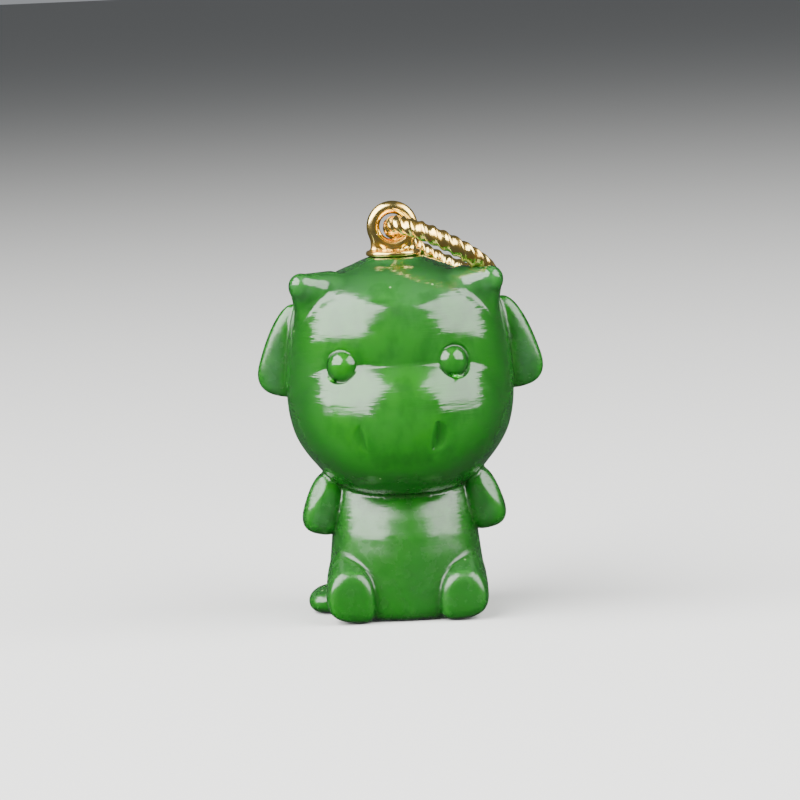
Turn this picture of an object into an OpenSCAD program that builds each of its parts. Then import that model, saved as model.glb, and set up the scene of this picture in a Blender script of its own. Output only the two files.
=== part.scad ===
/* [Figure] */
// Height of the figure from its base to the flat seat on its crown
figure_h = 21.9; // [20:0.1:25]
// Height of the underside of the chin above the base
chin_z = 7.9; // [7:0.1:9]
// Width of the head across the cheeks
head_w = 13.9; // [12:0.1:16]
// Depth of the head from brow to back, without the muzzle
head_d = 11.1; // [10:0.1:13]
// Width of the body at its widest
body_w = 9.7; // [8.5:0.1:11]
// Depth of the body from belly to back
body_d = 9.1; // [8:0.1:11]

/* [Face] */
// Width of the muzzle
muzzle_w = 11.8; // [10:0.1:12.6]
// Height of the muzzle
muzzle_h = 8; // [7:0.1:8.6]
// How far the muzzle stands out in front of the brow
muzzle_out = 1.2; // [0.6:0.1:2]
// Height of the middle of the muzzle above the base
muzzle_z = 12; // [11.4:0.1:12.6]
// Diameter of each eyeball
eyeball_d = 1.9; // [1.4:0.1:2.4]
// Distance between the middles of the eyes
eyes_apart = 6.8; // [6:0.1:7.6]
// Height of the eyes above the base
eyes_z = 16.1; // [15.4:0.1:17]

/* [Horns and ears] */
// Length of each horn, most of which stands clear of the head
horn_l = 2.9; // [2.4:0.1:3.6]
// Thickness of each horn at its root
horn_t = 1.9; // [1.5:0.1:2.3]
// Height of each ear from tip to root
ear_h = 6; // [5:0.1:7]
// Width of each ear, part of which is in the head
ear_w = 3.7; // [3:0.1:4.4]
// Thickness of each ear
ear_t = 2; // [1.6:0.1:2.6]

/* [Limbs and tail] */
// Length of each arm
arm_l = 4; // [3.4:0.1:4.6]
// Thickness of each arm
arm_t = 2.3; // [1.9:0.1:2.7]
// Height of each leg above the base
leg_h = 4.1; // [3.4:0.1:4.8]
// Width of each leg
leg_w = 3.2; // [2.6:0.1:3.6]
// Thickness of the tail
tail_t = 1.7; // [1.3:0.1:2.1]

/* [Gold eye] */
// Diameter of the disc on the crown
disc_d = 3.3; // [2.6:0.1:3.4]
// Thickness of the disc
disc_t = 0.28; // [0.22:0.01:0.4]
// Outside diameter of the loop
loop_d = 3.12; // [3:0.02:3.6]
// Thickness of the loop's wire
loop_wire = 0.76; // [0.6:0.02:0.8]
// Diameter of the post in the drilled hole
post_d = 0.9; // [0.7:0.05:1.1]
// Length of the post below the disc
post_l = 3.2; // [2:0.1:5]

/* [Twisted ring] */
// Diameter of the ring, measured along the middle of its wire
ring_d = 6.5; // [6.2:0.1:7.2]
// Thickness of the twisted wire over its strands
ring_wire = 1.16; // [1:0.02:1.2]
// Number of strands in the twist
strands = 3; // [2:1:4]
// How often a strand passes the front of the wire, round the whole ring
crossings = 27; // [20:1:32]
// How steeply the ring lies down to the side
side_lean = 28; // [26:0.5:28]
// How steeply the ring lies down to the back
back_lean = 16.5; // [15:0.5:18]

/* [Hidden] */

// Gap between the post and its hole, and between the disc and its seat
fit_gap = 0.03;
// The post's hole is deeper than the post by this
hole_spare = 0.3;
// The fitting stands this far behind the middle of the base
eye_y = 0.7;
loop_r = (loop_d - loop_wire) / 2;
seat_z = figure_h + fit_gap;
// The loop is sunk this far in the disc, and two legs carry it
loop_sink = 0.08;
loop_z = seat_z + disc_t - loop_sink + loop_d / 2;
// The legs stand this far inwards of the middle of the loop's wire, and end this far below its middle
leg_in = 0.12;
leg_low = 0.4;
// The ring's wire lies this far below the middle of the loop
ring_sag = 0.06;

// The head, from the chin to the crown. Columns: height as a share of the head's height,
// then half width, front depth and back depth as shares of half the width and half the depth
HEAD = [
    [0.000, 0.50, 0.62, 0.58],
    [0.040, 0.68, 0.76, 0.70],
    [0.080, 0.75, 0.86, 0.78],
    [0.120, 0.81, 0.92, 0.85],
    [0.170, 0.875, 0.97, 0.90],
    [0.245, 0.945, 1.00, 0.96],
    [0.320, 0.985, 1.02, 0.99],
    [0.400, 1.000, 1.03, 1.00],
    [0.510, 0.995, 1.03, 0.98],
    [0.620, 0.972, 1.01, 0.92],
    [0.730, 0.940, 0.97, 0.815],
    [0.815, 0.860, 0.90, 0.645],
    [0.870, 0.745, 0.79, 0.52],
    [0.910, 0.640, 0.68, 0.46],
    [0.945, 0.530, 0.55, 0.43],
    [0.975, 0.410, 0.40, 0.415],
    [1.000, 0.255, 0.25, 0.37]
];

// The body, from the base up into the head. Columns: height as a share of the chin's height,
// then half width, front depth and back depth as shares of half the width and half the depth
BODY = [
    [0.00, 0.90, 0.92, 0.90],
    [0.03, 0.955, 0.965, 0.955],
    [0.08, 0.985, 0.99, 0.985],
    [0.25, 0.99, 1.00, 1.00],
    [0.55, 0.94, 0.97, 0.96],
    [0.80, 0.89, 0.86, 0.90],
    [1.00, 0.84, 0.66, 0.80],
    [1.20, 0.72, 0.50, 0.70]
];

// Squareness of the horizontal sections: 2 is an ellipse
HEAD_SQUARE = 2.15;
BODY_SQUARE = 2.2;

// Points round each section, and the levels of the sections as steps of height
AROUND = 60;
LEVEL_STEPS = [
    // to this height share of the figure, in this many levels
    [0.02, 2], [0.33, 12], [0.44, 8], [0.60, 6], [0.85, 10], [0.96, 8], [1.00, 5]
];

function mid(rows, t, i = 0) = (i >= len(rows) - 2 || t < rows[i + 1][0]) ? i : mid(rows, t, i + 1);
function slope(rows, c, i) =
    let (a = max(i - 1, 0), b = min(i + 1, len(rows) - 1))
    (rows[b][c] - rows[a][c]) / (rows[b][0] - rows[a][0]);
// A smooth curve through one column of a table
function along(rows, c, t) =
    let (i = mid(rows, t), h = rows[i + 1][0] - rows[i][0], u = (t - rows[i][0]) / h,
         m0 = slope(rows, c, i) * h, m1 = slope(rows, c, i + 1) * h,
         y0 = rows[i][c], y1 = rows[i + 1][c])
    y0 + u * m0 + u * u * (3 * (y1 - y0) - 2 * m0 - m1) + u * u * u * (m0 + m1 - 2 * (y1 - y0));

// Distance from the upright axis to a rounded section, at angle a
function section_r(a, half_w, front, back, square) =
    let (deep = sin(a) < 0 ? front : back)
    pow(pow(abs(cos(a)) / half_w, square) + pow(abs(sin(a)) / deep, square), -1 / square);

function head_r(a, z) =
    let (t = (z - chin_z) / (figure_h - chin_z))
    t < 0 ? 0 : section_r(a, along(HEAD, 1, t) * head_w / 2, along(HEAD, 2, t) * head_d / 2,
                          along(HEAD, 3, t) * head_d / 2, HEAD_SQUARE);

function body_r(a, z) =
    let (t = z / chin_z)
    t > 1.2 ? 0 : section_r(a, along(BODY, 1, t) * body_w / 2, along(BODY, 2, t) * body_d / 2,
                            along(BODY, 3, t) * body_d / 2, BODY_SQUARE);

// Distance from the upright axis to the far side of an ellipsoid: [middle, half sizes]
function blob_r(a, z, b) =
    let (s = b[1],
         u = [cos(a) / s.x, sin(a) / s.y, 0],
         w = [-b[0].x / s.x, -b[0].y / s.y, (z - b[0].z) / s.z],
         k = u * u, m = u * w, d = m * m - k * (w * w - 1))
    d > 0 ? max((-m + sqrt(d)) / k, 0) : 0;

// The larger of two distances, blended where they are nearly alike
function blend(a, b, soft) =
    let (h = max(soft - abs(a - b), 0) / soft) max(a, b) + h * h * soft / 4;

// What swells out of the main form, as [middle, half sizes]
head_x = head_w / 2;
head_y = head_d / 2;
body_x = body_w / 2;
body_y = body_d / 2;
muzzle_deep = 4.4;
MUZZLE = [[0, muzzle_deep - head_y - muzzle_out, muzzle_z], [muzzle_w / 2, muzzle_deep, muzzle_h / 2]];
LEG = [[0.725 * body_x, -0.5 * body_y, 0.22 * leg_h], [leg_w / 2, 0.59 * body_y, 0.78 * leg_h]];
LEG_2 = [[-LEG[0].x, LEG[0].y, LEG[0].z], LEG[1]];

function figure_r(a, z) =
    let (trunk = blend(head_r(a, z), body_r(a, z), 0.15),
         legs = blend(blend(trunk, blob_r(a, z, LEG), 0.25), blob_r(a, z, LEG_2), 0.25))
    blend(legs, blob_r(a, z, MUZZLE), 0.3);

LEVELS = concat([0], [for (i = [0:len(LEVEL_STEPS) - 1])
    let (from = i == 0 ? 0 : LEVEL_STEPS[i - 1][0], to = LEVEL_STEPS[i][0], n = LEVEL_STEPS[i][1])
    for (k = [1:n]) (from + (to - from) * k / n) * figure_h]);

// A closed skin over rings of points, with a flat end at each end
module skin(rings) {
    n = len(rings[0]);
    last = len(rings) - 1;
    walls = [for (j = [0:last - 1]) for (i = [0:n - 1])
        let (a = j * n + i, b = j * n + (i + 1) % n, c = a + n, d = b + n)
        each [[a, c, b], [b, c, d]]];
    ends = [[for (i = [0:n - 1]) i], [for (i = [n - 1:-1:0]) last * n + i]];
    polyhedron([for (ring = rings) each ring], concat(walls, ends), convexity = 8);
}

// A smooth lump, longest along its own upright axis, with its half sizes
LUMP_SIDES = 16;
LUMP_RINGS = 9;
module lump(half) {
    skin([for (j = [0:LUMP_RINGS])
        let (lat = -87 + 174 * j / LUMP_RINGS)
        [for (i = [0:LUMP_SIDES - 1])
            let (a = 360 * (i + 0.5) / LUMP_SIDES)
            [half.x * cos(lat) * cos(a), half.y * cos(lat) * sin(a), half.z * sin(lat)]]]);
}

module horn() {
    translate([0.75 * head_x, -0.52 * head_y, 0.924 * figure_h])
    rotate([0, 76, 0])
    lump([horn_t / 2, horn_t / 2, horn_l / 2]);
}

module ear() {
    translate([0.97 * head_x, 0.14 * head_y, 0.742 * figure_h])
    rotate([0, -13, 0])
    lump([ear_w / 2, ear_t / 2, ear_h / 2]);
}

module eyeball() {
    translate([eyes_apart / 2, -0.83 * head_y, eyes_z])
    rotate([90, 0, 0])
    lump(eyeball_d / 2 * [1, 1, 1]);
}

module arm() {
    translate([body_x + 0.2, -0.18 * body_y, chin_z - 0.28 * arm_l])
    rotate([0, -20, 0])
    lump([arm_t / 2, 1.15 * arm_t / 2, arm_l / 2]);
}

// The tail curls round one side and rests on the level of the base
module tail() {
    translate([-0.95 * body_x, 0.52 * body_y, tail_t / 2])
    rotate([0, -90, 30])
    lump([tail_t / 2, 0.9 * tail_t, 1.1 * tail_t]);
}

module jade_calf() {
    color([0.25, 0.53, 0.2])
    difference() {
        union() {
            skin([for (z = LEVELS) [for (i = [0:AROUND - 1])
                let (a = 360 * i / AROUND, r = figure_r(a, z)) [r * cos(a), r * sin(a), z]]]);
            for (side = [0, 1]) mirror([side, 0, 0]) {
                horn();
                ear();
                eyeball();
                arm();
            }
            tail();
        }
        translate([0, eye_y, figure_h - post_l - hole_spare])
            cylinder(d = post_d + 2 * fit_gap, h = post_l + hole_spare + 1, $fn = 48);
    }
}

module gold_eye() {
    leg_d = 0.9 * loop_wire;
    color([0.87, 0.66, 0.26])
    translate([0, eye_y, 0])
    union() {
        translate([0, 0, seat_z - post_l])
            cylinder(d = post_d, h = post_l + disc_t / 2, $fn = 48);
        translate([0, 0, seat_z])
            rotate_extrude($fn = 72) disc_half();
        translate([0, 0, loop_z])
            rotate([90, 0, 0])
            rotate_extrude($fn = 72) translate([loop_r, 0]) circle(d = loop_wire, $fn = 36);
        for (side = [-1, 1])
            translate([side * (loop_r - leg_in), 0, seat_z + disc_t / 2])
            cylinder(d = leg_d, h = loop_z - seat_z - disc_t / 2 - leg_low, $fn = 36);
    }
}

// Half the section of the disc, with its upper edge rounded
module disc_half() {
    edge = disc_t / 2;
    square([disc_d / 2 - edge, disc_t]);
    square([disc_d / 2, disc_t - edge]);
    translate([disc_d / 2 - edge, disc_t - edge]) circle(r = edge, $fn = 32);
}

// The twisted wire: lobes round its section, turned along the ring
STATIONS = 6 * crossings;
SIDES = 4 * strands;
// A strand's radius, and how far its middle is from the middle of the wire
strand_r = ring_wire / 2 / (1 + 1 / sin(180 / strands));
strand_off = ring_wire / 2 - strand_r;

// Distance from the middle of the wire to the nearest strand's far side, at angle a
function lobe_r(a) =
    let (b = (a + 3600 + 180 / strands) % (360 / strands) - 180 / strands)
    strand_off * cos(b) + sqrt(max(pow(strand_r, 2) - pow(strand_off * sin(b), 2), 0));

module twisted_ring() {
    points = [for (j = [0:STATIONS - 1])
        let (turn = 360 * j / STATIONS, twist = -turn * crossings / strands)
        for (i = [0:SIDES - 1])
            let (a = 360 * i / SIDES, r = lobe_r(a), out = ring_d / 2 + r * cos(a + twist))
            [out * cos(turn), out * sin(turn), r * sin(a + twist)]];
    shift = SIDES - crossings % strands * SIDES / strands;
    faces = [for (j = [0:STATIONS - 1]) for (i = [0:SIDES - 1])
        let (closing = j == STATIONS - 1 ? shift : 0, k = (j + 1) % STATIONS,
             a = j * SIDES + i, b = j * SIDES + (i + 1) % SIDES,
             c = k * SIDES + (i + closing) % SIDES, d = k * SIDES + (i + 1 + closing) % SIDES)
        each [[a, b, c], [b, d, c]]];
    color([0.9, 0.69, 0.3])
    translate([0, eye_y, loop_z - ring_sag])
    rotate([-back_lean, 0, 0])
    rotate([0, side_lean, 0])
    translate([ring_d / 2, 0, 0])
    polyhedron(points, faces, convexity = 8);
}

jade_calf();
gold_eye();
twisted_ring();
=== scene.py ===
import math

import bpy
import numpy as np
from mathutils import Matrix, Quaternion, Vector
from mathutils.bvhtree import BVHTree


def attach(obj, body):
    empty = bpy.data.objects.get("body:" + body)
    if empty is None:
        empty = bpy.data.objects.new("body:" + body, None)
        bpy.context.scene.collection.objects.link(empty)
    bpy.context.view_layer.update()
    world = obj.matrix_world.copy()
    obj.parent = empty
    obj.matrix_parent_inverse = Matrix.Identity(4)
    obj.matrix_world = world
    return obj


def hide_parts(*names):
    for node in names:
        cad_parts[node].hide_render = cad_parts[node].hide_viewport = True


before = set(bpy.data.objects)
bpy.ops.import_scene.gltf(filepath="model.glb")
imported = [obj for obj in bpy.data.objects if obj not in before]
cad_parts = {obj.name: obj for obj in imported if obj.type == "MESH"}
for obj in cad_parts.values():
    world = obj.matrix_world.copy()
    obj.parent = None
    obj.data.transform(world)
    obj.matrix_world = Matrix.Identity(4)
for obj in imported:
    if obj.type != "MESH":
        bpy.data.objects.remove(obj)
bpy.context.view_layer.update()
mm = 0.001

# camera

photoView = {
    "elevation": 7.0,
    "distance": 0.23,
    "target": (0.03, 0.0, 13.05),  # mm
    "roll": -2.45,
    "lens": 168.7,
    "sensor": 36,
    "clip": (0.01, 50),
}


def placeCamera(view):
    tilt = math.radians(view["elevation"])
    back = Vector((0, -math.cos(tilt), math.sin(tilt)))
    bpy.ops.object.camera_add(location=Vector(view["target"]) * mm + back * view["distance"])
    camera = bpy.context.object
    camera.name = "photoCamera"
    camera.rotation_mode = "QUATERNION"
    turn = Quaternion((0, 0, 1), math.radians(view["roll"]))
    camera.rotation_quaternion = (-back).to_track_quat("-Z", "Y") @ turn
    camera.data.lens = view["lens"]
    camera.data.sensor_width = view["sensor"]
    camera.data.clip_start, camera.data.clip_end = view["clip"]
    bpy.context.scene.camera = camera


placeCamera(photoView)
print("camera placed")

# forms: each gives the distance in mm from every point to its surface, negative inside


def softMerge(a, b, fillet):
    # both forms, with a fillet where they meet
    near = np.clip(fillet - np.abs(a - b), 0, None) / fillet
    return np.minimum(a, b) - near * near * fillet / 4


def softCut(a, b, fillet):
    # what is left of a when the inside of b is taken away
    return -softMerge(-a, b, fillet)


def mirrored(p):
    # points at the left are read as their twins at the right
    q = p.copy()
    q[:, 0] = np.abs(q[:, 0])
    return q


def toLocal(p, middle, lean):
    q = p - np.array(middle)
    for axis, angle in enumerate(lean):
        if angle:
            c, s = math.cos(math.radians(angle)), math.sin(math.radians(angle))
            i, j = [(1, 2), (2, 0), (0, 1)][axis]
            q = q.copy()
            q[:, i], q[:, j] = c * q[:, i] + s * q[:, j], -s * q[:, i] + c * q[:, j]
    return q


def pebble(p, middle, half, square=2.0, lean=(0, 0, 0), taper=0.0, down=None):
    # taper narrows it upwards, by this share a mm, and down is its depth below the middle
    narrowest, widest = 0.2, 3
    q = toLocal(p, middle, lean)
    wide = half[0] * np.clip(1 - taper * q[:, 2], narrowest, widest)
    deep = np.full(len(q), half[1])
    tall = np.where(q[:, 2] < 0, half[2] if down is None else down, half[2])
    size = np.stack([wide, deep, tall], 1)
    q = np.abs(q) / size + 1e-9
    level = (q**square).sum(1) ** (1 / square)
    slope = np.linalg.norm(q ** (square - 1) / size, axis=1) * level ** (1 - square)
    return (level - 1) / slope


def roundCone(p, foot, tip, footRadius, tipRadius):
    foot, tip = np.array(foot), np.array(tip)
    along = tip - foot
    t = np.clip((p - foot) @ along / (along @ along), 0, 1)
    away = np.linalg.norm(p - foot - t[:, None] * along, axis=1)
    return away - footRadius - (tipRadius - footRadius) * t


def trueDistance(level, p, step=0.01):
    here = level(p)
    slope = [level(p + step * np.eye(3)[i]) - here for i in range(3)]
    return here * step / np.maximum(np.linalg.norm(slope, axis=0), 1e-6)


def smoothed(values, width):
    bell = np.hanning(width + 2)[1:-1]
    padded = np.pad(values, width, mode="reflect")
    return np.convolve(padded, bell / bell.sum(), "same")[width:-width]


class Profile:
    # an outline from pole to pole, read by the angle above the middle
    def __init__(self, heights, reach, middle, halfHeight, halfWidth, steps=721, soft=28):
        up = (np.array(heights) - middle) / halfHeight
        out = np.array(reach) / halfWidth
        self.angles = np.linspace(-90, 90, steps)
        rows = np.degrees(np.arctan2(up, out)), np.hypot(up, out)
        self.radius = smoothed(np.interp(self.angles, *rows), soft)

    def at(self, angle):
        return np.interp(angle, self.angles, self.radius)


class OvoidForm:
    # a closed ovoid whose side, front and back outlines are each given by rows
    def __init__(self, rows, square, middle):
        rows = np.array(rows)
        self.square, self.middle = square, middle
        self.wide, self.deep = rows[:, 1].max(), rows[:, 2:].max()
        self.tall = (rows[-1, 0] - rows[0, 0]) / 2
        self.side, self.front, self.back = [
            Profile(rows[:, 0], rows[:, i], middle, self.tall, size)
            for i, size in ((1, self.wide), (2, self.deep), (3, self.deep))
        ]

    def level(self, p):
        s = self.square
        x, y = (np.abs(p[:, 0]) / self.wide) ** s, (np.abs(p[:, 1]) / self.deep) ** s
        out = (x + y) ** (1 / s)
        up = (p[:, 2] - self.middle) / self.tall
        angle = np.degrees(np.arctan2(up, out))
        end = np.where(p[:, 1] < 0, self.front.at(angle), self.back.at(angle))
        share = y / (x + y + 1e-12)
        return np.hypot(out, up) / (self.side.at(angle) * (1 - share) + end * share) - 1

    def distance(self, p):
        return trueDistance(self.level, p)


class ColumnForm:
    # an upright column whose half width, front and back depth follow rows
    def __init__(self, rows, square, steps=500, soft=30):
        high, *sizes = np.array(rows).T
        self.square = square
        self.heights = np.linspace(high[0], high[-1], steps)
        self.sizes = [smoothed(np.interp(self.heights, high, size), soft) for size in sizes]

    def level(self, p):
        wide, front, back = [np.interp(p[:, 2], self.heights, size) for size in self.sizes]
        deep = np.where(p[:, 1] < 0, front, back)
        s = self.square
        return ((np.abs(p[:, 0]) / wide) ** s + (np.abs(p[:, 1]) / deep) ** s + 1e-12) ** (1 / s) - 1

    def distance(self, p):
        return trueDistance(self.level, p)


# meshes: rough blanks are fused and then pulled to a form, all in mm


def deselectAll():
    bpy.ops.object.select_all(action="DESELECT")


def onlySelect(piece):
    deselectAll()
    piece.select_set(True)
    bpy.context.view_layer.objects.active = piece


def applyPlace():
    bpy.ops.object.transform_apply(location=True, rotation=True, scale=True)


def blankBall(middle, half, lean=(0, 0, 0)):
    deselectAll()
    bpy.ops.mesh.primitive_uv_sphere_add(segments=48, ring_count=24, radius=1, location=middle)
    blank = bpy.context.object
    blank.scale = half
    blank.rotation_euler = [math.radians(a) for a in lean]
    applyPlace()
    return blank


def blankRod(x, y, radius, low, top):
    deselectAll()
    bpy.ops.mesh.primitive_cylinder_add(
        vertices=64, radius=radius, depth=top - low, location=(x, y, (low + top) / 2)
    )
    return bpy.context.object


def joinAll(pieces, name):
    deselectAll()
    for piece in pieces:
        piece.select_set(True)
    bpy.context.view_layer.objects.active = pieces[0]
    bpy.ops.object.join()
    applyPlace()
    joined = bpy.context.object
    joined.name = joined.data.name = name
    return joined


def fuse(piece, grain):
    onlySelect(piece)
    remesh = piece.modifiers.new("fuse", "REMESH")
    remesh.mode, remesh.voxel_size = "VOXEL", grain
    remesh.use_smooth_shade = True
    bpy.ops.object.modifier_apply(modifier=remesh.name)


def relax(piece, rounds, factor=0.5):
    onlySelect(piece)
    smooth = piece.modifiers.new("relax", "SMOOTH")
    smooth.factor, smooth.iterations = factor, rounds
    bpy.ops.object.modifier_apply(modifier=smooth.name)


def pullTo(piece, form, rounds, longest=0.35):
    # every vertex moves along its normal until it lies on the form
    mesh = piece.data
    count = len(mesh.vertices)
    place, normal = np.zeros(count * 3), np.zeros(count * 3)
    for turn in range(rounds):
        mesh.vertices.foreach_get("co", place)
        mesh.vertex_normals.foreach_get("vector", normal)
        p, n = place.reshape(-1, 3), normal.reshape(-1, 3)
        off = np.clip(form(p), -longest, longest)
        place = (p - off[:, None] * n).ravel()
        mesh.vertices.foreach_set("co", place)
        mesh.update()
    return np.abs(off)


def settle(piece, form, pulls=3, relaxes=1, factor=0.5):
    # pulled to the form, evened out and pulled back
    pullTo(piece, form, pulls)
    relax(piece, relaxes, factor)
    off = pullTo(piece, form, 3)
    print(piece.name, len(piece.data.polygons), "faces, off its form by", off.max(), off.mean())


def refineNear(piece, isNear):
    # halves the edges of the faces that isNear picks
    onlySelect(piece)
    mesh = piece.data
    middles = np.zeros(len(mesh.polygons) * 3)
    mesh.polygons.foreach_get("center", middles)
    bpy.ops.object.mode_set(mode="EDIT")
    bpy.ops.mesh.select_mode(type="FACE")
    bpy.ops.mesh.select_all(action="DESELECT")
    bpy.ops.object.mode_set(mode="OBJECT")
    mesh.polygons.foreach_set("select", isNear(middles.reshape(-1, 3)))
    bpy.ops.object.mode_set(mode="EDIT")
    bpy.ops.mesh.subdivide(number_cuts=1)
    bpy.ops.object.mode_set(mode="OBJECT")


def toMetres(piece):
    onlySelect(piece)
    piece.scale = (mm, mm, mm)
    applyPlace()
    bpy.ops.object.shade_smooth()


# the jade calf

calf = {
    "crown": 21.9,
    "crownEdge": 0.1,
    "baseEdge": 1.0,
    # height, half width, front, back
    "head": [
        (7.50, 0.0, 0.0, 0.0),
        (7.60, 2.60, 2.4, 2.4),
        (7.80, 3.50, 3.2, 3.2),
        (8.20, 4.20, 3.9, 3.75),
        (8.70, 4.75, 4.4, 4.15),
        (9.37, 5.32, 4.9, 4.6),
        (9.87, 5.72, 5.1, 4.85),
        (10.38, 6.09, 5.25, 5.05),
        (10.83, 6.36, 5.35, 5.2),
        (11.33, 6.58, 5.4, 5.33),
        (12.38, 6.84, 5.42, 5.49),
        (13.50, 6.95, 5.42, 5.55),
        (15.04, 6.92, 5.45, 5.44),
        (15.85, 6.86, 5.49, 5.30),
        (16.58, 6.78, 5.55, 5.11),
        (17.40, 6.66, 5.50, 4.86),
        (18.12, 6.53, 5.36, 4.50),
        (19.31, 6.15, 4.98, 3.58),
        (20.08, 5.35, 4.42, 2.88),
        (20.64, 4.45, 3.82, 2.55),
        (21.13, 3.60, 3.10, 2.40),
        (21.47, 2.68, 2.30, 2.35),
        (21.70, 2.05, 1.85, 2.25),
        (21.90, 1.72, 1.70, 2.15),
        (22.10, 0.0, 0.0, 0.0),
    ],
    "jaw": [
        (7.50, 0.0, 0.0, 0.0),
        (7.60, 2.50, 2.9, 1.0),
        (7.80, 3.40, 3.9, 1.5),
        (8.20, 4.10, 4.75, 2.0),
        (8.70, 4.65, 5.4, 2.4),
        (9.40, 5.25, 6.02, 2.7),
        (10.30, 5.95, 6.50, 3.0),
        (11.30, 6.42, 6.78, 3.2),
        (12.30, 6.66, 6.84, 3.3),
        (13.30, 6.66, 6.70, 3.3),
        (14.30, 6.55, 6.40, 3.2),
        (15.10, 6.42, 5.98, 3.1),
        (15.85, 6.15, 5.47, 3.0),
        (16.60, 5.50, 4.85, 2.7),
        (17.30, 4.30, 3.80, 2.2),
        (18.00, 0.0, 0.0, 0.0),
    ],
    "body": [
        (-1.0, 4.86, 4.50, 4.45),
        (0.8, 4.86, 4.55, 4.50),
        (2.0, 4.84, 4.56, 4.55),
        (4.0, 4.60, 4.48, 4.40),
        (5.2, 4.47, 4.28, 4.25),
        (6.3, 4.33, 3.90, 4.10),
        (7.2, 4.22, 3.42, 3.88),
        (8.0, 4.08, 2.85, 3.60),
        (10.5, 3.0, 1.9, 2.9),
    ],
    # how square each is in plan, and the height of its middle
    "headPlan": (2.15, 14.8),
    "jawPlan": (2.2, 12.4),
    "bodyPlan": 2.2,
    "bodyTop": 10,
    "headAside": 0.08,  # the head stands a touch to the right of the body
    "jawFillet": 0.14,
    "joinFillet": 0.12,  # legs, arms, tail and head on the body
    # foot, tip and the radius of each
    "horn": ((4.35, -1.75, 19.95), (5.74, -2.80, 20.62), 1.45, 0.72),
    "underHorn": ((5.2, -1.6, 18.7), (5.70, -2.6, 20.35), 0.95, 0.72),
    "hornFillets": (0.3, 0.5),
    "ear": {
        "middle": (7.05, 1.0, 15.35), "half": (1.55, 0.85, 3.9), "square": 2.5,
        "lean": (3, -14, 0), "taper": 0.045, "down": 1.9,
    },
    "earFillet": 0.2,
    "rightEarOut": 0.12,
    "arm": {
        "middle": (4.85, -0.6, 6.95), "half": (1.17, 1.3, 1.95), "square": 2.7,
        "lean": (0, -12, 0), "taper": 0.12, "down": 1.92,
    },
    # the carver's flat cut along the arm's outer edge
    "bevelPlace": (5.62, -1.50, 7.44),
    "bevelFacing": (0.600, -0.700, 0.387),
    "bevelEdge": 0.1,
    "leg": {
        "sole": (3.42, -4.97, 1.05),
        "halfWidth": 1.24,
        "widening": (0.42, 0.75),  # by this share, for so many mm behind the sole
        "narrowing": (0.22, 4.2, 3),  # by this share, from here, for so many mm
        "rise": (2.02, 0.5, 2.6),  # the sole's top, then the slope up from it and its length
        "down": (3.5, 1.7),  # depth below the middle, at the inner and the outer side
        "square": 2.4,
        "soleDome": (0.05, 0.5),  # how much it bulges, and the share of that upwards
        "soleEdge": 0.32,
        "end": 1.5,
    },
    "rightLegDown": 0.2,
    # the body's lower corners are rubbed round: half width at the base, slope, its cosine, fillet
    "rubbed": (4.42, 0.9, 0.743, 0.9),
    "tail": {
        "middle": (-4.72, 1.05, 0.72), "half": (1.33, 2.05, 0.87), "square": 2.2,
        "lean": (0, 0, -12),
    },
    "tailEdge": 0.2,
    "eye": (3.36, -4.76, 15.85),
    "eyeFacing": (0.40, -0.91, 0.06),
    "eyeRadius": 1.03,
    "eyeSunk": 0.36,
    "eyePocket": (0.02, 0.13, 1.5),  # gap round the dome, floor and top
    "eyeFillets": (0.06, 0.02),
    "eyesAside": 0.03,
    "rightEyeUp": 0.02,  # and the left one down
    "nostril": (2.18, -6.36, 11.62),
    "nostrilTurn": 14,
    "dent": {"middle": (0.14, -0.17, -0.06), "half": (1.0, 0.28, 0.93)},
    "dentWall": 0.9,  # slope of its inner wall
    "dentFillet": 0.08,
    "nostrilsAside": 0.09,
}
calfBlanks = {
    "balls": [
        ((0, 0, 14.8), (6.9, 5.4, 7.2)),
        ((0, -1.5, 12.2), (6.4, 5.2, 4.5)),
        ((-4.75, 1.1, 0.85), (1.35, 2.0, 0.95), (0, -18, -12)),
    ],
    "rod": (4.5, 0, 9),
    # these stand at both sides, with their lean outwards
    "pairs": [
        ((5.2, -2.7, 20.3), (1.3, 1.0, 0.95), 0),
        ((7.0, 0.8, 15.9), (1.5, 0.95, 2.9), -13),
        ((4.9, -0.7, 6.8), (1.2, 1.35, 1.9), -20),
        ((3.45, -2.4, 1.6), (1.5, 2.6, 2.5), 0),
    ],
    "grains": (0.24, 0.13),
    # how far round the eye, the nostril and the muzzle's edge the mesh is finer
    "fineEye": 1.35,
    "fineNostril": 1.0,
    "fineEdge": (0.16, -2, 13.5),
}

headForm = OvoidForm(calf["head"], *calf["headPlan"])
jawForm = OvoidForm(calf["jaw"], *calf["jawPlan"])
bodyForm = ColumnForm(calf["body"], calf["bodyPlan"])


def eyeParts(s):
    # the dome, and the round pocket turned for it
    out = np.array(calf["eyeFacing"])
    out /= np.linalg.norm(out)
    q = s - np.array(calf["eye"])
    up = q @ out
    aside = np.linalg.norm(q - up[:, None] * out, axis=1)
    dome = np.hypot(aside, up + calf["eyeSunk"]) - calf["eyeRadius"]
    gap, floor, top = calf["eyePocket"]
    pocket = np.maximum(aside - calf["eyeRadius"] - gap, floor - up)
    return dome, np.maximum(pocket, up - top)


def nostrilCut(s):
    q = toLocal(s, calf["nostril"], (0, calf["nostrilTurn"], 0))
    return np.maximum(pebble(q, **calf["dent"]), -q[:, 0] + calf["dentWall"] * q[:, 1])


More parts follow.
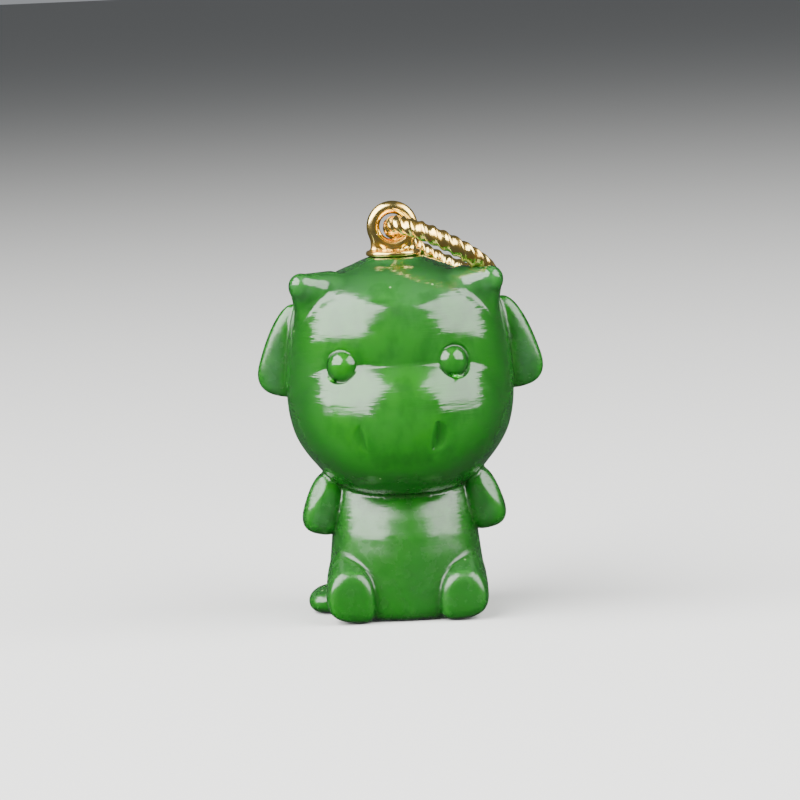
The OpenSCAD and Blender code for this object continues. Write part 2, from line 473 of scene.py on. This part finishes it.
def legForm(s):
    # a flat sole in front, widening backwards and rising into the thigh
    leg = calf["leg"]
    across, behind, up = (s - np.array(leg["sole"])).T
    growth, growing = leg["widening"]
    loss, start, losing = leg["narrowing"]
    wide = leg["halfWidth"] + growth * np.clip(behind, 0, growing) - loss * np.clip(behind - start, 0, losing)
    top, slope, rising = leg["rise"]
    inner, outer = leg["down"]
    tall = np.where(up < 0, np.where(across > 0, outer, inner), top + slope * np.clip(behind, 0, rising))
    square = leg["square"]
    side = ((np.abs(across) / wide) ** square + (np.abs(up) / tall) ** square + 1e-9) ** (1 / square)
    bulge, flatter = leg["soleDome"]
    sole = behind - bulge * (across**2 + flatter * up**2)
    return np.maximum(softCut((side - 1) * wide, sole, leg["soleEdge"]), s[:, 1] - leg["end"])


def armForm(s):
    bevel = (s - np.array(calf["bevelPlace"])) @ np.array(calf["bevelFacing"])
    return softCut(pebble(s, **calf["arm"]), -bevel, calf["bevelEdge"])


def headWithHorns(p, right):
    h = p - (calf["headAside"], 0, 0)
    m = mirrored(h)
    form = softMerge(headForm.distance(h), jawForm.distance(h), calf["jawFillet"])
    horn, underHorn = [roundCone(m, *calf[name]) for name in ("horn", "underHorn")]
    between, around = calf["hornFillets"]
    form = softMerge(form, softMerge(horn, underHorn, between), around)
    m[:, 0] -= np.where(right, calf["rightEarOut"], 0.0)
    return softMerge(form, pebble(m, **calf["ear"]), calf["earFillet"])


def bodyWithLimbs(p, right):
    s = mirrored(p)
    limb = s.copy()
    limb[:, 2] += np.where(right, calf["rightLegDown"], 0.0)
    form = np.maximum(bodyForm.distance(p), p[:, 2] - calf["bodyTop"])
    form = softMerge(form, legForm(limb), calf["joinFillet"])
    halfBase, slope, cosine, fillet = calf["rubbed"]
    form = softCut(form, (halfBase + slope * p[:, 2] - s[:, 0]) * cosine, fillet)
    return softMerge(form, armForm(s), calf["joinFillet"])


def calfForm(p):
    right = p[:, 0] > 0
    form = softMerge(headWithHorns(p, right), bodyWithLimbs(p, right), calf["joinFillet"])
    e = mirrored(p + (calf["eyesAside"], 0, 0))
    e[:, 2] -= np.where(right, calf["rightEyeUp"], -calf["rightEyeUp"])
    dome, pocket = eyeParts(e)
    rim, foot = calf["eyeFillets"]
    form = softMerge(softCut(form, pocket, rim), dome, foot)
    n = mirrored(p + (calf["nostrilsAside"], 0, 0))
    form = softCut(form, nostrilCut(n), calf["dentFillet"])
    form = softCut(form, p[:, 2], calf["baseEdge"])
    tail = softCut(pebble(p, **calf["tail"]), p[:, 2], calf["tailEdge"])
    form = softMerge(form, tail, calf["joinFillet"])
    return softCut(form, calf["crown"] - p[:, 2], calf["crownEdge"])


def nearCrease(c):
    s = mirrored(c)
    eye, nostril = [np.linalg.norm(s - np.array(calf[name]), axis=1) for name in ("eye", "nostril")]
    width, front, low = calfBlanks["fineEdge"]
    edge = np.abs(headForm.distance(c) - jawForm.distance(c)) < width
    edge = edge & (c[:, 1] < front) & (c[:, 2] > low)
    return (eye < calfBlanks["fineEye"]) | (nostril < calfBlanks["fineNostril"]) | edge


def carveCalf():
    blanks = [blankBall(*ball) for ball in calfBlanks["balls"]]
    blanks.append(blankRod(0, 0, *calfBlanks["rod"]))
    for side in (-1, 1):
        for (x, y, z), half, lean in calfBlanks["pairs"]:
            blanks.append(blankBall((side * x, y, z), half, (0, side * lean, 0)))
    piece = joinAll(blanks, "jadeCalf")
    coarse, fine = calfBlanks["grains"]
    fuse(piece, coarse)
    settle(piece, calfForm, pulls=4, relaxes=4)
    fuse(piece, fine)
    settle(piece, calfForm, relaxes=2)
    refineNear(piece, nearCrease)
    settle(piece, calfForm, factor=0.3)
    toMetres(piece)
    return piece


jadeCalf = carveCalf()

# the gold eye: disc, loop and post in one

goldEye = {
    "place": (0, 0.7, 0),
    "seat": 21.93,
    "disc": (1.68, 0.30),  # radius, thickness
    "discEdge": 0.12,
    "loop": (1.17, 0.40, 23.69),  # radius, wire radius, height
    "legs": (1.00, 0.36, 0.5),  # half distance, radius, end below the loop's middle
    "post": (0.45, 3.2, 0.1),  # radius, depth, height above the seat
    "legFillet": 0.12,
    "solder": 0.3,
    "postFillet": 0.03,
    "grain": 0.05,
}


def goldEyeForm(p):
    x, y, z = (p - np.array(goldEye["place"])).T
    seat, edge = goldEye["seat"], goldEye["discEdge"]
    discRadius, thick = goldEye["disc"]
    ring, wire, high = goldEye["loop"]
    apart, leg, below = goldEye["legs"]
    postRadius, deep, above = goldEye["post"]
    out = np.hypot(x, y)
    a, b = out - discRadius + edge, np.abs(z - seat - thick / 2) - thick / 2 + edge
    disc = np.hypot(np.maximum(a, 0), np.maximum(b, 0)) + np.minimum(np.maximum(a, b), 0) - edge
    loop = np.hypot(np.hypot(x, z - high) - ring, y) - wire
    legs = np.hypot(np.abs(x) - apart, y) - leg
    legs = np.maximum(legs, np.maximum(z - high + below, seat - z))
    form = softMerge(loop, legs, goldEye["legFillet"])
    form = softMerge(form, disc, goldEye["solder"])
    form = np.maximum(form, seat - z)
    post = np.maximum(out - postRadius, np.maximum(z - seat - above, seat - deep - z))
    return softMerge(form, post, goldEye["postFillet"])


def makeGoldEye():
    x, y = goldEye["place"][:2]
    seat = goldEye["seat"]
    discRadius, thick = goldEye["disc"]
    ring, wire, high = goldEye["loop"]
    apart, leg, below = goldEye["legs"]
    postRadius, deep, above = goldEye["post"]
    deselectAll()
    bpy.ops.mesh.primitive_torus_add(
        major_radius=ring, minor_radius=wire, major_segments=64, minor_segments=24,
        location=(x, y, high), rotation=(math.radians(90), 0, 0)
    )
    blanks = [
        bpy.context.object,
        blankRod(x, y, discRadius, seat, seat + thick),
        blankRod(x, y, postRadius, seat - deep, seat + above),
    ]
    blanks += [blankRod(x + side * apart, y, leg, seat, high - below) for side in (-1, 1)]
    piece = joinAll(blanks, "goldEye")
    fuse(piece, goldEye["grain"])
    settle(piece, goldEyeForm, pulls=4, relaxes=2)
    toMetres(piece)
    return piece


goldEyePiece = makeGoldEye()

# the twisted ring

twistedRing = {
    "hinge": (0, 0.7, 23.63),
    "radius": 3.25,
    "wire": 0.58,
    "turns": -9,  # of each strand, right round the ring
    "strands": 3,
    "solder": (0.48, 0.08),  # its radius between the strands, and the fillet
    "strandSlope": 0.85,  # makes up for the strands' slant
    "sideLean": 28.0,
    "backLean": -16.5,
    "blankRadius": 0.53,
    "grain": 0.055,
}
strandRadius = twistedRing["wire"] / (1 + 1 / math.sin(math.pi / twistedRing["strands"]))
ringPlace = (
    Matrix.Translation(twistedRing["hinge"])
    @ Matrix.Rotation(math.radians(twistedRing["backLean"]), 4, "X")
    @ Matrix.Rotation(math.radians(twistedRing["sideLean"]), 4, "Y")
    @ Matrix.Translation((twistedRing["radius"], 0, 0))
)
ringBack = np.array(ringPlace.inverted())


def twistedRingForm(p):
    x, y, up = (p @ ringBack[:3, :3].T + ringBack[:3, 3]).T
    along = np.arctan2(y, x)
    out = np.hypot(x, y) - twistedRing["radius"]
    third = 2 * math.pi / twistedRing["strands"]
    turn = np.arctan2(up, out) - along * twistedRing["turns"]
    turn = (turn + third / 2) % third - third / 2
    reach = np.hypot(out, up)
    offset = twistedRing["wire"] - strandRadius
    strand = np.hypot(reach * np.cos(turn) - offset, reach * np.sin(turn)) - strandRadius
    core, fillet = twistedRing["solder"]
    return softMerge(strand * twistedRing["strandSlope"], reach - core, fillet)


def makeTwistedRing():
    deselectAll()
    bpy.ops.mesh.primitive_torus_add(
        major_radius=twistedRing["radius"], minor_radius=twistedRing["blankRadius"],
        major_segments=160, minor_segments=24
    )
    piece = bpy.context.object
    piece.name = piece.data.name = "twistedRing"
    piece.matrix_world = ringPlace
    applyPlace()
    fuse(piece, twistedRing["grain"])
    settle(piece, twistedRingForm, pulls=4)
    toMetres(piece)
    return piece


twistedRingPiece = makeTwistedRing()

# materials


def markThickness(piece, skin=0.05, deepest=12, rounds=30):
    # how many millimetres of stone lie under each vertex, smoothed along the surface
    mesh = piece.data
    tree = BVHTree.FromObject(piece, bpy.context.evaluated_depsgraph_get())
    depth = np.zeros(len(mesh.vertices))
    for vertex in mesh.vertices:
        start = vertex.co - vertex.normal * skin * mm
        far = tree.ray_cast(start, -vertex.normal)[3]
        depth[vertex.index] = min(far if far else 0.0, deepest * mm) / mm
    edges = np.zeros(len(mesh.edges) * 2, dtype=int)
    mesh.edges.foreach_get("vertices", edges)
    a, b = edges.reshape(-1, 2).T
    count = np.bincount(edges, minlength=len(depth))
    for turn in range(rounds):
        around = np.bincount(a, depth[b], len(depth)) + np.bincount(b, depth[a], len(depth))
        depth = around / np.maximum(count, 1)
    mesh.attributes.new("thickness", "FLOAT", "POINT").data.foreach_set("value", depth)
    print(piece.name, "thickness from", depth.min(), "to", depth.max(), "mm")


class Shading:
    # adds nodes to one node tree, with each input set to a value or linked
    def __init__(self, tree):
        self.nodes, self.links = tree.nodes, tree.links

    def feed(self, socket, value):
        if isinstance(value, (int, float, tuple)):
            socket.default_value = value
        else:
            self.links.new(value, socket)

    def add(self, kind, inputs=(), operation=None):
        node = self.nodes.new("ShaderNode" + kind)
        if operation:
            node.operation = operation
        for name, value in inputs:
            self.feed(node.inputs[name], value)
        return node

    def math(self, operation, *values, clamp=False):
        node = self.add("Math", enumerate(values), operation)
        node.use_clamp = clamp
        return node.outputs[0]

    def ramp(self, value, low, high):
        # 0 at low and 1 at high
        node = self.add("MapRange", (("Value", value), ("From Min", low), ("From Max", high)))
        node.interpolation_type = "SMOOTHSTEP"
        return node.outputs["Result"]

    def mixColour(self, share, first, second):
        node = self.add("Mix", [("Factor", share)])
        node.data_type = "RGBA"
        sockets = [socket for socket in node.inputs if socket.type == "RGBA"]
        for socket, colour in zip(sockets, (first, second)):
            self.feed(socket, colour)
        return [socket for socket in node.outputs if socket.type == "RGBA"][0]

    def mixValue(self, share, first, second):
        return self.add("Mix", (("Factor", share), ("A", first), ("B", second))).outputs["Result"]

    def noise(self, place, scale, detail, stretch=(1, 1, 1)):
        mapping = self.add("Mapping", (("Vector", place), ("Scale", stretch)))
        inputs = (("Vector", mapping.outputs["Vector"]), ("Scale", scale), ("Detail", detail))
        return self.add("TexNoise", inputs).outputs["Fac"]

    def split(self, vector):
        return self.add("SeparateXYZ", [(0, vector)]).outputs

    def vector(self, operation, *inputs):
        return self.add("VectorMath", inputs, operation).outputs["Vector"]


def newMaterial(name):
    material = bpy.data.materials.new(name)
    material.use_nodes = True
    shader = material.node_tree.nodes["Principled BSDF"]
    return material, Shading(material.node_tree), shader.inputs


# the rows are a noise that is drawn out sideways
polish = {
    "stretch": (0.05, 0.05, 1),
    "detail": 3,
    "roughness": 0.65,
    "direction": (0, 1, 0),
}


def buildPolishLines():
    # fine rows left by the polishing wheel tilt the surface a little, most where it faces forward
    group = bpy.data.node_groups.new("polishLines", "ShaderNodeTree")
    sockets = group.interface
    sockets.new_socket("Place", in_out="INPUT", socket_type="NodeSocketVector")
    for name in ("Scale", "Strength"):
        sockets.new_socket(name, in_out="INPUT", socket_type="NodeSocketFloat")
    sockets.new_socket("Normal", in_out="OUTPUT", socket_type="NodeSocketVector")
    tree = Shading(group)
    start, end = group.nodes.new("NodeGroupInput"), group.nodes.new("NodeGroupOutput")
    mapping = tree.add("Mapping", (("Vector", start.outputs["Place"]), ("Scale", polish["stretch"])))
    rows = tree.add("TexNoise", (
        ("Vector", mapping.outputs["Vector"]), ("Scale", start.outputs["Scale"]),
        ("Detail", polish["detail"]), ("Roughness", polish["roughness"]),
    ))
    normal = tree.add("NewGeometry").outputs["Normal"]
    size = tree.math("SUBTRACT", rows.outputs["Fac"], 0.5)
    size = tree.math("MULTIPLY", size, start.outputs["Strength"])
    size = tree.math("MULTIPLY", size, tree.math("ABSOLUTE", tree.split(normal)["Y"]))
    tilt = tree.vector("SCALE", (0, polish["direction"]), ("Scale", size))
    tree.feed(end.inputs["Normal"], tree.vector("NORMALIZE", (0, tree.vector("ADD", (0, normal), (1, tilt)))))
    return group


polishLines = buildPolishLines()


def placePolish(tree, place, scale, strength):
    node = tree.nodes.new("ShaderNodeGroup")
    node.node_tree = polishLines
    for name, value in (("Place", place), ("Scale", scale), ("Strength", strength)):
        tree.feed(node.inputs[name], value)
    return node.outputs["Normal"]


jadeLook = {
    "deep": (0.015, 0.168, 0.008, 1),
    # the dark of the stone's threads, and of its painted shade
    "threadsAndShadeDark": (0.006, 0.063, 0.006, 1),
    # the stone's own milky clouds, and also its painted glow and sheen
    "milkyAndGlow": (0.042, 0.145, 0.050, 1),
    "speck": (0.22, 0.42, 0.16, 1),
    "ior": 1.66,
    "scatterRadius": (0.35, 1.0, 0.25),
    "scatterScale": 0.003,
    # noise scale and detail, then the part of the noise that shows
    "clouds": (260, 3),
    "cloudRange": (0.35, 0.68),
    "cloudShare": (0.35, 0.22),  # in the painted glow and sheen, and everywhere
    "threads": (900, 4, (1, 1, 0.6)),
    "threadRange": (0.62, 0.30),
    "threadShare": 0.45,
    # painted glow and sheen: thin stone is paler as if lit through, and the crown as if lit from above
    "thinStoneGlow": (6.0, 1.5),  # mm
    "crown": (0.0175, 0.0215),  # m
    "crownSheenShare": 0.7,
    # painted shade: the stone is darker where it turns away and near the base
    "turningShade": (0.1, 0.6),
    "turningShadeShare": 0.8,
    # painted shade towards the base
    "base": (0.009, 0.003),
    "baseShadeShare": 0.38,
    # cells for each speck, the speck's size and which cells have one
    "speckCells": 800,
    "speckSize": (0.075, 0.03),
    "speckChosen": (0.72, 0.74),
    "roughness": (0.07, 0.20),
    "unevenness": (1500, 4),
    "unevenRange": (0.3, 0.75),
    # the body and the ears are polished less than the head
    "bodyBelow": (0.0105, 0.0085),
    "earsBeyond": (0.0064, 0.0070),
    "dullness": 0.12,
    "polishLines": (15000, 1.0),  # scale, strength
    "waves": (700, 2),
    "waveHeight": 0.00002,
    "waveStrength": 0.25,
}


def jadeColour(tree, place, split, dot):
    look = jadeLook
    # painted glow where the stone is thin, and painted sheen on the crown
    thick = tree.add("Attribute")
    thick.attribute_name = "thickness"
    thinGlow = tree.ramp(thick.outputs["Fac"], *look["thinStoneGlow"])
    crown = tree.math("MULTIPLY", tree.ramp(split["Z"], *look["crown"]), look["crownSheenShare"])
    glowAndSheen = tree.math("MAXIMUM", thinGlow, crown)
    drift = tree.ramp(tree.noise(place, *look["clouds"]), *look["cloudRange"])
    inPale, everywhere = look["cloudShare"]
    glowAndSheen = tree.math("MULTIPLY", glowAndSheen, tree.math("MULTIPLY_ADD", drift, inPale, 1 - inPale))
    # random milky clouds plus the painted glow and sheen
    cloudsAndGlow = tree.math("ADD", glowAndSheen, tree.math("MULTIPLY", drift, everywhere), clamp=True)
    colour = tree.mixColour(cloudsAndGlow, look["deep"], look["milkyAndGlow"])
    threads = tree.ramp(tree.noise(place, *look["threads"]), *look["threadRange"])
    # painted shade where the surface turns away, and towards the base
    facing = tree.add("LayerWeight").outputs["Facing"]
    turnedShade = tree.ramp(facing, *look["turningShade"])
    base = tree.ramp(split["Z"], *look["base"])
    # dark threads in the stone, plus painted shade
    threadsAndShade = tree.math("MULTIPLY", threads, look["threadShare"])
    threadsAndShade = tree.math("MAXIMUM", threadsAndShade, tree.math("MULTIPLY", turnedShade, look["turningShadeShare"]))
    threadsAndShade = tree.math("MAXIMUM", threadsAndShade, tree.math("MULTIPLY", base, look["baseShadeShare"]))
    colour = tree.mixColour(threadsAndShade, colour, look["threadsAndShadeDark"])
    return tree.mixColour(dot, colour, look["speck"])


def jadeRoughness(tree, place, split):
    look = jadeLook
    low, high = look["roughness"]
    uneven = tree.ramp(tree.noise(place, *look["unevenness"]), *look["unevenRange"])
    rough = tree.math("ADD", tree.math("MULTIPLY", uneven, high - low), low)
    body = tree.ramp(split["Z"], *look["bodyBelow"])
    ears = tree.ramp(tree.math("ABSOLUTE", split["X"]), *look["earsBeyond"])
    dull = tree.math("MULTIPLY", tree.math("MAXIMUM", body, ears), look["dullness"])
    return tree.math("ADD", rough, dull)


def jadeMaterial():
    material, tree, shader = newMaterial("polishedJade")
    look = jadeLook
    place = tree.add("TexCoord").outputs["Object"]
    split = tree.split(place)
    cells = tree.add("TexVoronoi", (("Scale", look["speckCells"]), ("Vector", place))).outputs
    dot = tree.ramp(cells["Distance"], *look["speckSize"])
    chosen = tree.ramp(tree.split(cells["Color"])["X"], *look["speckChosen"])
    dot = tree.math("MULTIPLY", dot, chosen)
    tree.feed(shader["Base Color"], jadeColour(tree, place, split, dot))
    tree.feed(shader["Roughness"], jadeRoughness(tree, place, split))
    bump = tree.add("Bump", (
        ("Strength", look["waveStrength"]), ("Distance", look["waveHeight"]),
        ("Height", tree.math("SUBTRACT", tree.noise(place, *look["waves"]), dot)),
        ("Normal", placePolish(tree, place, *look["polishLines"])),
    ))
    tree.feed(shader["Normal"], bump.outputs["Normal"])
    tree.feed(shader["IOR"], look["ior"])
    tree.feed(shader["Subsurface Weight"], 1.0)
    tree.feed(shader["Subsurface Radius"], look["scatterRadius"])
    tree.feed(shader["Subsurface Scale"], look["scatterScale"])
    return material


goldLook = {
    "bright": (1.0, 0.80, 0.27, 1),
    "warm": (1.0, 0.62, 0.13, 1),
    "roughness": (0.15, 0.27),
    "wear": (1600, 4),
    "wearRange": (0.35, 0.7),
    "polishLines": (12000, 0.2),
}


def goldMaterial():
    material, tree, shader = newMaterial("polishedGold")
    place = tree.add("TexCoord").outputs["Object"]
    worn = tree.ramp(tree.noise(place, *goldLook["wear"]), *goldLook["wearRange"])
    low, high = goldLook["roughness"]
    rough = tree.math("ADD", tree.math("MULTIPLY", worn, high - low), low)
    tree.feed(shader["Base Color"], tree.mixColour(worn, goldLook["bright"], goldLook["warm"]))
    tree.feed(shader["Roughness"], rough)
    tree.feed(shader["Normal"], placePolish(tree, place, *goldLook["polishLines"]))
    tree.feed(shader["Metallic"], 1.0)
    return material


markThickness(jadeCalf)
jade = jadeMaterial()
gold = goldMaterial()
dressed = (
    (jadeCalf, "jade_calf", "figure", "jade", jade),
    (goldEyePiece, "gold_eye", "figure", "gold", gold),
    (twistedRingPiece, "twisted_ring", "ring", "gold", gold),
)
for piece, node, body, slot, material in dressed:
    piece.data.materials.clear()
    piece.data.materials.append(material)
    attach(piece, body)
    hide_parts(node)
print("pieces dressed")

# floor and light

studio = {
    "floorSize": 6.0,
    "floorColour": (0.78, 0.78, 0.76, 1),
    "floorRoughness": 0.8,
    # a dark table would stand under the real piece, so less light is thrown back up
    "bounceColour": (0.24, 0.24, 0.23, 1),
    "worldColour": (0.75, 0.78, 0.82, 1),
    "worldStrength": 0.16,
    # the camera sees a pale backdrop, and polished pieces a dim room
    "backdropStrength": 0.40,
    "roomStrength": 0.13,
    # place in m, then the azimuth and elevation that its back faces
    "leftBox": {
        "place": (-0.233, -0.220, 0.254), "facing": (-84, 37.5), "turn": 14,
        "size": (0.550, 0.385), "power": 7.5,
    },
    "rightBox": {
        "place": (0.271, -0.206, 0.224), "facing": (97, 43.4), "turn": -20,
        "size": (0.486, 0.361), "power": 4.2,
    },
}


def layFloor():
    deselectAll()
    bpy.ops.mesh.primitive_plane_add(size=studio["floorSize"], location=(0, 0, 0))
    floor = bpy.context.object
    floor.name = "paleFloor"
    material, tree, shader = newMaterial("paleFloor")
    bounced = tree.add("LightPath").outputs["Is Diffuse Ray"]
    colour = tree.mixColour(bounced, studio["floorColour"], studio["bounceColour"])
    tree.feed(shader["Base Color"], colour)
    tree.feed(shader["Roughness"], studio["floorRoughness"])
    floor.data.materials.append(material)
    floor.visible_glossy = False


def softBox(name):
    box = studio[name]
    a, e = [math.radians(angle) for angle in box["facing"]]
    out = Vector((math.sin(a) * math.cos(e), -math.cos(a) * math.cos(e), math.sin(e)))
    light = bpy.data.lights.new(name, "AREA")
    light.shape = "RECTANGLE"
    light.size, light.size_y = box["size"]
    light.energy = box["power"]
    lamp = bpy.data.objects.new(name, light)
    bpy.context.scene.collection.objects.link(lamp)
    lamp.location = box["place"]
    lamp.rotation_mode = "QUATERNION"
    turn = Quaternion((0, 0, 1), math.radians(box["turn"]))
    lamp.rotation_quaternion = out.to_track_quat("Z", "Y") @ turn


def lightWorld():
    world = bpy.data.worlds.new("studio")
    bpy.context.scene.world = world
    world.use_nodes = True
    tree = Shading(world.node_tree)
    rays = tree.add("LightPath").outputs
    strength = studio["worldStrength"]
    for ray, seen in (("Is Glossy Ray", "roomStrength"), ("Is Camera Ray", "backdropStrength")):
        strength = tree.mixValue(rays[ray], strength, studio[seen])
    background = world.node_tree.nodes["Background"].inputs
    tree.feed(background["Color"], studio["worldColour"])
    tree.feed(background["Strength"], strength)


layFloor()
lightWorld()
softBox("leftBox")
softBox("rightBox")
print("studio lit")
